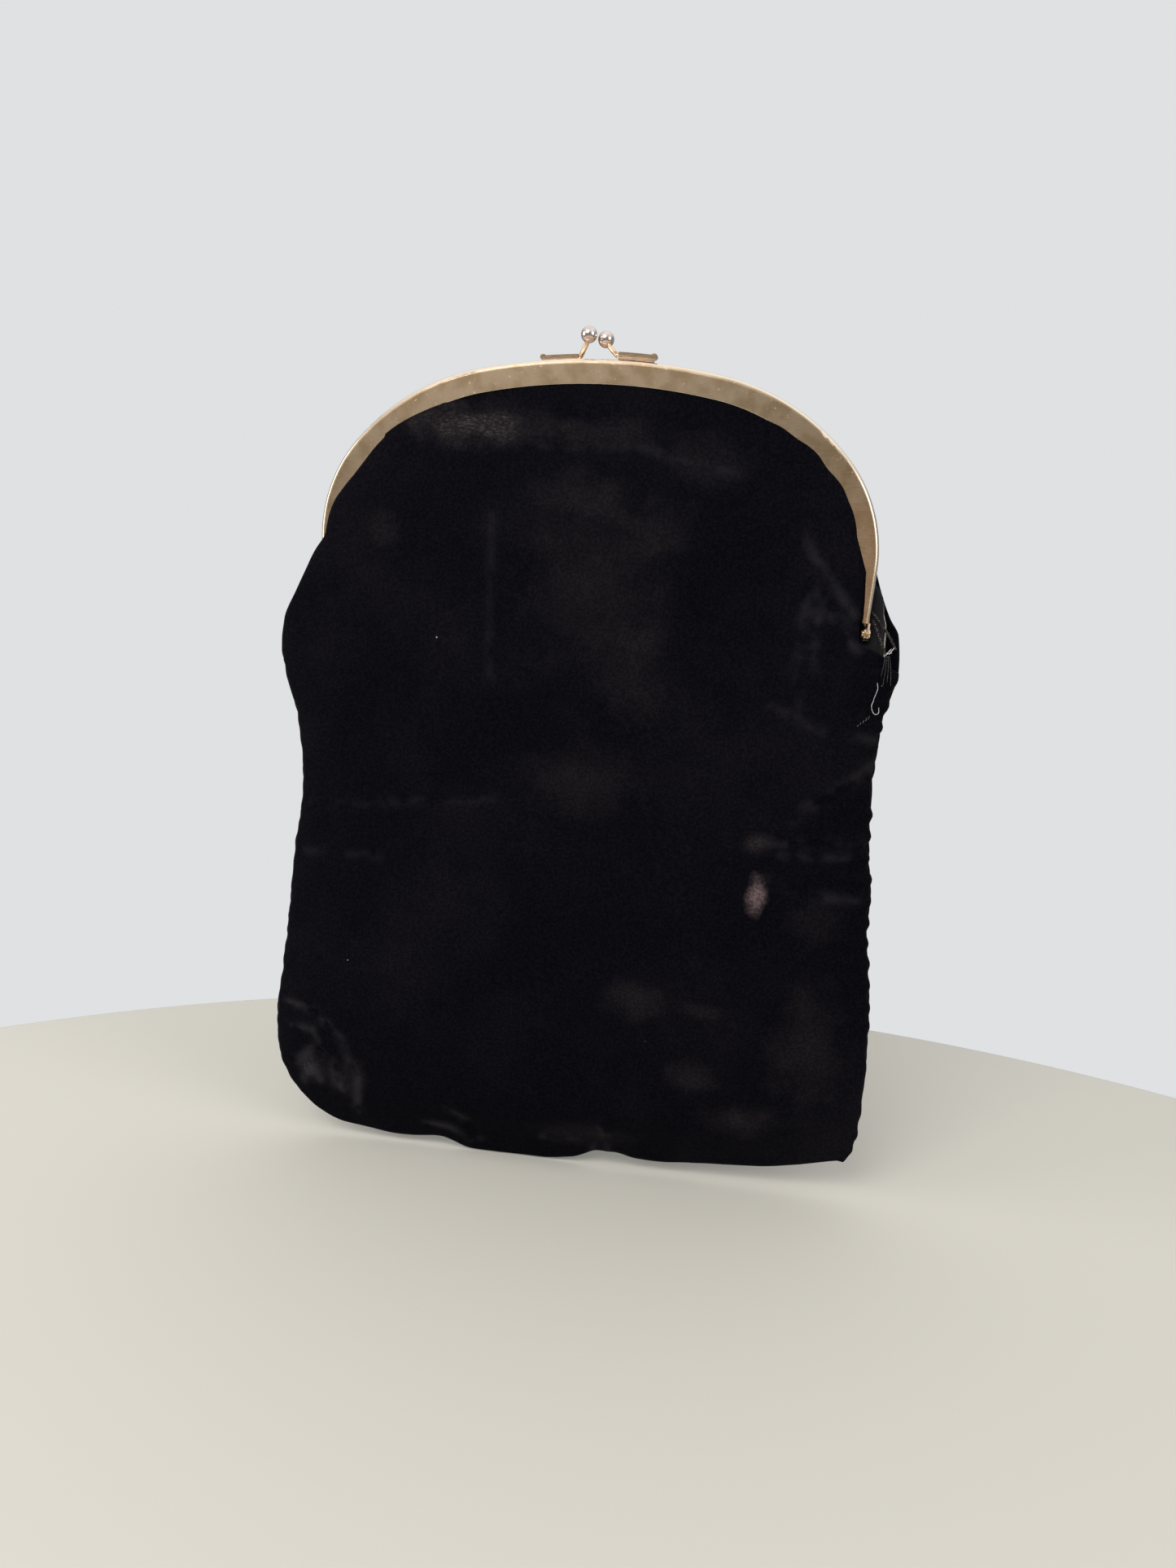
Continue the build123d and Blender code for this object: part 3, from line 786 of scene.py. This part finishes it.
# %% Wear group
wear_group = new_group("wear", (("Brush mm", 0.35),), ("Mottle", "Brush", "Fleck"))
tree = wear_group
group_in, group_out = tree.nodes.new("NodeGroupInput"), tree.nodes.new("NodeGroupOutput")
coords = object_coords(tree)
tree.links.new(ramp(tree, noise_at(tree, 5.5, 5.0, coords), 0.38, 0.66), group_out.inputs["Mottle"])
stretch = add(tree, "Mapping", {"Vector": coords, "Scale": (0.12, 1.0, 1.0)})
brush_scale = maths(tree, "DIVIDE", 1000.0, group_in.outputs["Brush mm"])
brush = add(tree, "TexNoise", {"Vector": stretch.outputs[0], "Scale": brush_scale, "Detail": 3.0})
tree.links.new(brush.outputs["Fac"], group_out.inputs["Brush"])
marks = add(tree, "TexNoise", {"Vector": coords, "Scale": 1100.0, "Detail": 2.0})
tree.links.new(ramp(tree, marks.outputs["Fac"], 0.68, 0.76), group_out.inputs["Fleck"])


# %% [markdown]
# Low on the right arm the gilding has turned coppery. The upper bar of each clasp strap is darker
# than its lower one. It is found by its height above the arch, whose top is nearly a parabola.

# %% Gilt materials
COPPERY = (0.42, 0.235, 0.115)
TARNISH = (0.27, 0.195, 0.12)
STRAP_BROWN = (0.30, 0.185, 0.105)
FLECK_GOLD = (0.80, 0.62, 0.42)
ARCH_PARABOLA = 0.37


def make_gilt(name, dull, bright, dull_rough, bright_rough, face_share):
    """Worn gilt: dull on faces that look to the front or back; elsewhere, by face_share, a pale colour that
    is partly worn gilt and partly a painted highlight.
    """
    material, tree, shader = new_material(name, Metallic=1.0)
    wear = place(tree, wear_group)
    normal = add(tree, "SeparateXYZ", {0: add(tree, "TexCoord").outputs["Normal"]})
    flatness = maths(tree, "ABSOLUTE", normal.outputs["Y"])
    face = maths(tree, "MULTIPLY", ramp(tree, flatness, 0.80, 0.985), face_share)
    patchy = maths(tree, "ADD", maths(tree, "MULTIPLY", wear.outputs["Mottle"], 0.12), 0.88)
    dulled = maths(tree, "MULTIPLY", face, patchy, True)
    place_now = add(tree, "SeparateXYZ", {0: object_coords(tree)})
    to_right = ramp(tree, place_now.outputs["X"], 0.02, 0.085)
    low_down = ramp(tree, place_now.outputs["Z"], 0.245, 0.190)
    coppery = maths(tree, "MULTIPLY", to_right, low_down)
    dull_colour = mix_colour(tree, maths(tree, "MULTIPLY", coppery, 0.8), dull, COPPERY)
    mottled = maths(tree, "MULTIPLY", wear.outputs["Mottle"], 0.25)
    dull_colour = mix_colour(tree, mottled, dull_colour, TARNISH)
    # The pale rim colour is partly worn gilt and partly a painted highlight
    colour = mix_colour(tree, dulled, bright, dull_colour)
    across = maths(tree, "POWER", place_now.outputs["X"], 2.0)
    drop = maths(tree, "DIVIDE", across, ARCH_PARABOLA)
    above_arch = maths(tree, "ADD", place_now.outputs["Z"], drop)
    bar_foot = ramp(tree, above_arch, 0.2571, 0.2577)
    upper_bar = maths(tree, "MULTIPLY", bar_foot, ramp(tree, above_arch, 0.2590, 0.2586))
    upper_bar = maths(tree, "MULTIPLY", upper_bar, 1.0 - face_share)
    colour = mix_colour(tree, upper_bar, colour, STRAP_BROWN)
    colour = mix_colour(tree, maths(tree, "MULTIPLY", wear.outputs["Fleck"], 0.5), colour, FLECK_GOLD)
    tree.links.new(colour, shader.inputs["Base Color"])
    rough = ramp(tree, dulled, 0.0, 1.0, bright_rough, dull_rough)
    brushed = maths(tree, "MULTIPLY", maths(tree, "SUBTRACT", wear.outputs["Brush"], 0.5), 0.22)
    tree.links.new(maths(tree, "ADD", rough, brushed, True), shader.inputs["Roughness"])
    relief = add(tree, "Bump", {"Height": wear.outputs["Brush"], "Strength": 0.12, "Distance": 0.0001})
    tree.links.new(relief.outputs[0], shader.inputs["Normal"])
    return material


frame_gilt = make_gilt("frame_gilt", (0.245, 0.170, 0.098), (0.88, 0.74, 0.58), 0.40, 0.18, 1.0)
clasp_gilt = make_gilt("clasp_gilt", (0.72, 0.47, 0.29), (0.84, 0.60, 0.40), 0.30, 0.20, 0.3)

# %% [markdown]
# The clasp's balls have a silvery plate over the gilt. It has worn through in patches, and the
# lower part of each ball is turned to the same coppery colour.

# %% Ball plate
SILVER = (0.74, 0.66, 0.63)
COPPER_GILT = (0.62, 0.40, 0.27)
ball_plate, tree, shader = new_material("ball_plate", Metallic=1.0)
worn = ramp(tree, noise_at(tree, 2.6, 4.0), 0.42, 0.62)
height = add(tree, "SeparateXYZ", {0: object_coords(tree)}).outputs["Z"]
# Coppery towards the bottom of each ball
low = ramp(tree, height, 0.2625, 0.2605)
worn = maths(tree, "MAXIMUM", maths(tree, "MULTIPLY", worn, 0.7), maths(tree, "MULTIPLY", low, 0.8))
tree.links.new(mix_colour(tree, worn, SILVER, COPPER_GILT), shader.inputs["Base Color"])
tree.links.new(ramp(tree, worn, 0.0, 1.0, 0.10, 0.26), shader.inputs["Roughness"])

# %% [markdown]
# The hard pieces of the model are kept as they are, and only get their finishes. The paper cords
# are wedged in the channels, where they hold the cloth.

# %% Dress the model's own pieces
CAD_FINISH = {
    "front_frame": frame_gilt, "rear_frame": frame_gilt, "left_hinge_rivet": clasp_gilt,
    "right_hinge_rivet": clasp_gilt, "front_clasp_arm": clasp_gilt, "rear_clasp_arm": clasp_gilt,
    "front_clasp_ball": ball_plate, "rear_clasp_ball": ball_plate, "front_crimp_cord": paper,
    "rear_crimp_cord": paper,
}
for node, material in CAD_FINISH.items():
    put_material(frame["nodes"][node], material)
print("dressed", len(CAD_FINISH), "pieces")

# %% [markdown]
# ## The slip pocket
# A small patch of the same satin is sewn on the back lining. A sheet of the lining's own shape,
# a little nearer the middle of the bag, is cut by four planes at the pocket's edges, so that the
# pocket lies against the lining.

# %% Slip pocket
pocket_low, pocket_high = [Vector(corner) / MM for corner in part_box("slip_pocket")]
pocket = make_sheet(
    "slip_pocket_satin", *LINING_GRID, True, LINING_INSET, POCKET_BEHIND, SATIN_THICK)
make_active(pocket)
bpy.ops.object.mode_set(mode="EDIT")
for normal in ((1.0, 0.0, 0.0), (0.0, 0.0, 1.0)):
    for corner, upper in ((pocket_low, False), (pocket_high, True)):
        bpy.ops.mesh.select_all(action="SELECT")
        bpy.ops.mesh.bisect(
            plane_co=corner * MM, plane_no=normal, use_fill=True, clear_outer=upper, clear_inner=not upper)
bpy.ops.object.mode_set(mode="OBJECT")
print("pocket vertices", len(pocket.data.vertices))

# %% [markdown]
# ## The sheets in place
# Each sheet keeps the shape it was built in. The model's own cloth pieces are hidden, each sheet
# gets its finish, and the pocket goes with the pouch.

# %% Hide the model's cloth and give the sheets their finishes
PANEL_NODES = {
    "velvet": ("{}_velvet_panel", "{}_velvet_yoke"), "canvas": ("{}_interlining",),
    "lining": ("{}_lining", "{}_lining_yoke"),
}
MATERIALS = {"canvas": (canvas, "interlining"), "lining": (satin, "satin_lining")}
for side, pieces in layers.items():
    for kind, piece in pieces.items():
        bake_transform(piece)
        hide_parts(*[name.format(side) for name in PANEL_NODES[kind]])
for side, pieces in layers.items():
    put_material(pieces["velvet"], velvet_material[side])
    for kind, (material, slot_name) in MATERIALS.items():
        put_material(pieces[kind], material)
put_material(pocket, satin)
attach(pocket, "pouch")
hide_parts("slip_pocket")

# %% [markdown]
# ## Bound edges and threads
# At each foot of the frame the free edge of the velvet is overcast with twisted thread, and the
# two edges are tacked together at the top of the side seam. Each edge is two strands that wind
# round one smooth line: the line is a curve, and the strands are wound on its points in a loop.

# %% Twisted cords and threads


def smooth_line(points, samples):
    """Evenly spaced points of a smooth curve near the given points, in millimetres."""
    points = np.array(points, dtype=float)
    spans = np.cumsum(np.concatenate(([0.0], np.linalg.norm(np.diff(points, axis=0), axis=1))))
    fine = np.linspace(0.0, spans[-1], samples)
    return np.stack([curve_through(list(zip(spans, points[:, axis])))(fine) for axis in range(3)], axis=1)


def tube_through(name, lines, radius):
    """One mesh of round threads, each following its own list of points."""
    data = bpy.data.curves.new(name, "CURVE")
    data.dimensions = "3D"
    data.bevel_depth = radius * MM
    data.bevel_resolution = 2
    data.use_fill_caps = True
    for line in lines:
        spline = data.splines.new("POLY")
        spline.points.add(len(line) - 1)
        for point, place_now in zip(spline.points, line):
            point.co = (*(np.array(place_now) * MM), 1.0)
    obj = bpy.data.objects.new(name, data)
    bpy.context.scene.collection.objects.link(obj)
    make_active(obj)
    bpy.ops.object.convert(target="MESH")
    bpy.ops.object.shade_smooth()
    return obj


def wound(points, radius, pitch, strands, samples):
    """Strands that wind round a smooth line through the points."""
    middle = smooth_line(points, samples)
    forward = np.gradient(middle, axis=0)
    forward /= np.linalg.norm(forward, axis=1)[:, None]
    side = np.cross(forward, (0.0, 1.0, 0.0))
    side /= np.linalg.norm(side, axis=1)[:, None]
    up = np.cross(side, forward)
    travelled = np.linspace(0, np.linalg.norm(np.diff(middle, axis=0), axis=1).sum(), samples)
    lines = []
    for strand in range(strands):
        angle = 2 * math.pi * (travelled / pitch + strand / strands)
        lines.append(middle + radius * (np.cos(angle)[:, None] * side + np.sin(angle)[:, None] * up))
    return lines


def mirrored(line):
    """A line of points turned half round, for the other side of the bag."""
    return [(-x, -y, z) for x, y, z in line]


# %% Bound edges
RIGHT_FRONT_EDGE = ((85.9, -0.6, 184.6), (87.0, -1.8, 182.0), (88.6, -2.5, 178.6), (90.3, -2.8, 174.8))
RIGHT_REAR_EDGE = (
    (85.3, 0.6, 187.0), (87.0, -0.8, 185.0), (89.8, -1.9, 181.6), (92.0, -2.5, 178.4), (93.0, -2.8, 176.4),
)
for side, turned in (("right", False), ("left", True)):
    routes = [mirrored(r) if turned else r for r in (RIGHT_FRONT_EDGE, RIGHT_REAR_EDGE)]
    lines = []
    for route, samples in zip(routes, (60, 70)):
        lines += wound(route, 0.20, 1.7, 2, samples)
    cords = tube_through(side + "_bound_edges", lines, 0.23)
    put_material(cords, edge_thread)
    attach(cords, "pouch")
    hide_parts(side + "_edge_bindings")

# %% [markdown]
# The tack is three loops of pale thread through both bound edges. Its ends were never cut off, and
# the cloth has begun to fray below it. A few stitches of grey thread mend the seam farther down.

# %% Tacks, loose ends and frayed fibres
TACK_LOOPS = (
    ((89.9, -2.9, 174.2), (90.4, -3.5, 174.7), (91.3, -3.5, 175.9), (91.8, -3.0, 176.4)),
    ((90.2, -2.9, 175.1), (91.0, -3.6, 175.0), (92.0, -3.0, 175.4)),
    ((91.3, -2.9, 174.9), (91.9, -3.5, 175.9), (92.7, -3.0, 176.9)),
)
SPARE_ENDS = (
    ((88.6, -3.4, 166.4), (88.9, -4.0, 164.6), (88.5, -4.1, 162.8), (88.0, -3.9, 161.3)),
    ((88.1, -3.9, 161.2), (87.6, -4.0, 159.2), (88.0, -4.1, 157.6), (89.0, -4.0, 156.7), (89.9, -3.6, 157.4),
     (89.8, -3.3, 158.8)),
)


def on_both_sides(routes, samples):
    """Smooth lines through these routes and through their mirrored copies."""
    return [smooth_line(r, samples) for route in routes for r in (route, mirrored(route))]


tacks = tube_through("tack_threads_sewn", on_both_sides(TACK_LOOPS, 14), 0.12)
loose_ends = tube_through("loose_thread_ends", on_both_sides(SPARE_ENDS, 20), 0.09)
# Frayed fibres that hang from the tack, as fine lines fanning down the seam
WISPS = []
for i in range(4):
    tip = (89.2 + 1.15 * i, -3.2, 166.4 - 0.8 * (i % 2))
    WISPS.append(((90.2 + 0.4 * i, -3.3, 174.4), (89.9 + 0.75 * i, -3.6, 170.6), tip))
wisps = tube_through("frayed_fibres", on_both_sides(WISPS, 12), 0.05)
for threads, finish in ((tacks, bright_thread), (loose_ends, bright_thread), (wisps, grey_thread)):
    put_material(threads, finish)
    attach(threads, "pouch")
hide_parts("tack_threads")

# %% Mending stitches
FIRST_STITCH = np.array(((84.0, -3.0, 152.4), (84.1, -3.9, 152.9), (84.3, -3.0, 153.5)))
STITCH_STEP = np.array((0.75, 0.0, 0.65))
stitch_lines = [smooth_line(FIRST_STITCH + STITCH_STEP * i, 8) for i in range(5)]
stitches = tube_through("seam_stitches_sewn", stitch_lines, 0.12)
put_material(stitches, grey_thread)
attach(stitches, "pouch")
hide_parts("seam_stitches")

# %% [markdown]
# ## Stage and light
# A round pale table top, with nothing behind it that could hide the bag's back.

# %% Stage
FLOOR_Z = -1.9
TABLE_RADIUS = 430.0
TABLE_THICK = 40.0
TABLE_PALE = (0.52, 0.494, 0.435, 1.0)
TABLE_AT = (40.0, -270.0)
deselect()
bpy.ops.mesh.primitive_cylinder_add(vertices=256, radius=TABLE_RADIUS * MM, depth=TABLE_THICK * MM)
table = bpy.context.object
table.name = "table_top"
bpy.ops.object.mode_set(mode="EDIT")
bpy.ops.mesh.select_all(action="SELECT")
table_middle = Vector((*TABLE_AT, FLOOR_Z - TABLE_THICK / 2)) * MM
bpy.ops.transform.translate(value=table_middle)
bpy.ops.object.mode_set(mode="OBJECT")
apply_modifier(table, "BEVEL", width=0.004, segments=4)
stage_paint, tree, shader = new_material("stage_paint", Roughness=0.7)
shader.inputs["Base Color"].default_value = TABLE_PALE
table.data.materials.append(stage_paint)

# %% [markdown]
# The light is large and soft: a broad one in front and above, and a weaker one from each side.
# Metal shows mostly what it mirrors, so they matter more for the gilt than for the cloth. The
# surroundings are bright overhead, which draws the bright line along the rounded rim of the frame,
# while the camera sees an even pale tone.

# %% Lights


def softbox(name, at, towards, size, watts):
    """A square area light aimed at a point, in millimetres."""
    data = bpy.data.lights.new(name, "AREA")
    data.shape = "SQUARE"
    data.size = size * MM
    data.energy = watts
    light = bpy.data.objects.new(name, data)
    bpy.context.scene.collection.objects.link(light)
    aim = Vector(towards) - Vector(at)
    turned = aim.to_track_quat("-Z", "Y").to_matrix().to_4x4()
    light.matrix_world = Matrix.Translation(Vector(at) * MM) @ turned
    return light


MIDDLE_OF_BAG = (0, 0, 130)
softbox("key", (-350, -900, 900), MIDDLE_OF_BAG, 700, 8.2)
softbox("right_fill", (900, -500, 500), MIDDLE_OF_BAG, 600, 3.5)
softbox("left_fill", (-900, -300, 400), MIDDLE_OF_BAG, 600, 3.5)

# %% Surroundings
SKY_PALE = (0.82, 0.835, 0.85, 1.0)
SEEN_STRENGTH = 0.90
world = bpy.data.worlds.new("studio")
world.use_nodes = True
tree = world.node_tree
tree.nodes["Background"].inputs["Color"].default_value = SKY_PALE
seen = add(tree, "LightPath").outputs["Is Camera Ray"]
upward = add(tree, "SeparateXYZ", {0: add(tree, "TexCoord").outputs["Generated"]}).outputs["Z"]
overhead = ramp(tree, upward, 0.25, 0.85, 0.36, 1.30)
missing = maths(tree, "SUBTRACT", SEEN_STRENGTH, overhead)
strength = maths(tree, "ADD", overhead, maths(tree, "MULTIPLY", seen, missing))
tree.links.new(strength, tree.nodes["Background"].inputs["Strength"])
bpy.context.scene.world = world
bpy.context.scene.view_settings.view_transform = "Standard"
